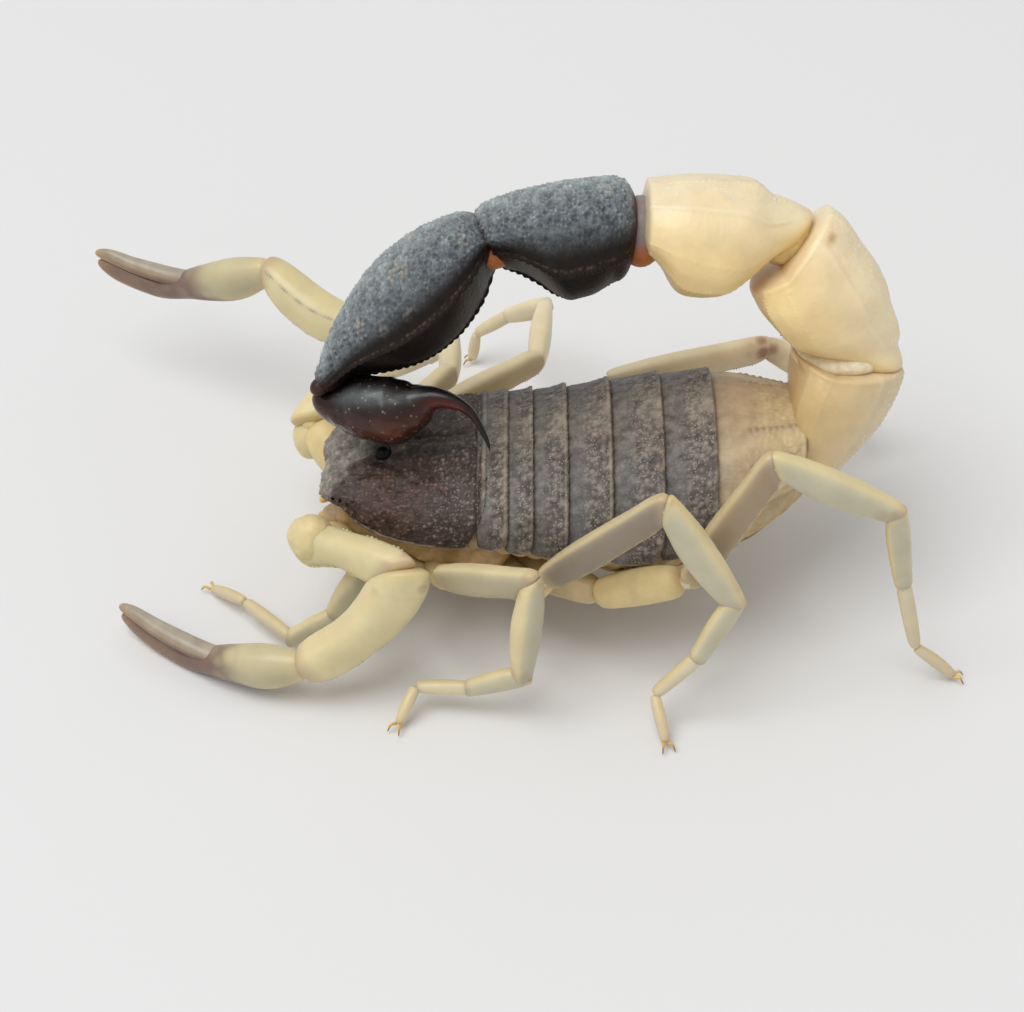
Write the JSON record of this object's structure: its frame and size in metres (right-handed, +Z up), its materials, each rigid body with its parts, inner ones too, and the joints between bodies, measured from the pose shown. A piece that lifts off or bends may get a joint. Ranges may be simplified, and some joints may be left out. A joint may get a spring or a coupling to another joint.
{
  "type": "desert scorpion model",
  "caption": "Still life-size model of a small thick-tailed desert scorpion, standing with its dark-tipped tail curled forward over its back.",
  "frame": {"origin": "centre of the bounding box at the level of the floor that the feet stand on", "axes": "+Z up, the head points to -Y and the tail's base to +Y, the animal's own left side is +X"},
  "size_m": [0.019, 0.0264, 0.0127],
  "materials": {
    "dark_plate": "dark grey-brown granular shell plate, dull",
    "tan_plate": "yellow-brown granular shell plate, slightly translucent",
    "pale_plate": "pale straw-yellow smooth shell",
    "pale_tail": "pale yellow shell with beaded keels, satin, slightly translucent",
    "dark_tail": "blue-black coarsely granular shell",
    "sting": "dark red-brown glossy shell",
    "limb": "pale yellowish-white translucent shell, satin",
    "finger": "grey-tan smooth shell, satin",
    "eye": "glossy black"
  },
  "bodies": {
    "root": {"carapace": "dark_plate", "eye_left": "eye", "eye_right": "eye", "chelicera_left": "pale_plate", "chelicera_right": "pale_plate", "underside": "pale_plate", "trunk_front": "dark_plate", "trunk_middle": "dark_plate", "trunk_rear": "tan_plate", "tail_1": "pale_tail", "tail_2": "pale_tail", "tail_3": "pale_tail", "tail_4": "dark_tail", "tail_5": "dark_tail", "telson": "sting", "pedipalp_left_femur": "limb", "pedipalp_left_patella": "limb", "pedipalp_left_hand": "limb", "pedipalp_left_movable_finger": "finger", "pedipalp_right_femur": "limb", "pedipalp_right_patella": "limb", "pedipalp_right_hand": "limb", "pedipalp_right_movable_finger": "finger", "leg_left_1_femur": "limb", "leg_left_1_patella": "limb", "leg_left_1_tibia": "limb", "leg_left_1_foot": "limb", "leg_left_2_femur": "limb", "leg_left_2_patella": "limb", "leg_left_2_tibia": "limb", "leg_left_2_foot": "limb", "leg_left_3_femur": "limb", "leg_left_3_patella": "limb", "leg_left_3_tibia": "limb", "leg_left_3_foot": "limb", "leg_left_4_femur": "limb", "leg_left_4_patella": "limb", "leg_left_4_tibia": "limb", "leg_left_4_foot": "limb", "leg_right_1_femur": "limb", "leg_right_1_patella": "limb", "leg_right_1_tibia": "limb", "leg_right_1_foot": "limb", "leg_right_2_femur": "limb", "leg_right_2_patella": "limb", "leg_right_2_tibia": "limb", "leg_right_2_foot": "limb", "leg_right_3_femur": "limb", "leg_right_3_patella": "limb", "leg_right_3_tibia": "limb", "leg_right_3_foot": "limb", "leg_right_4_femur": "limb", "leg_right_4_patella": "limb", "leg_right_4_tibia": "limb", "leg_right_4_foot": "limb"}
  },
  "joints": []
}
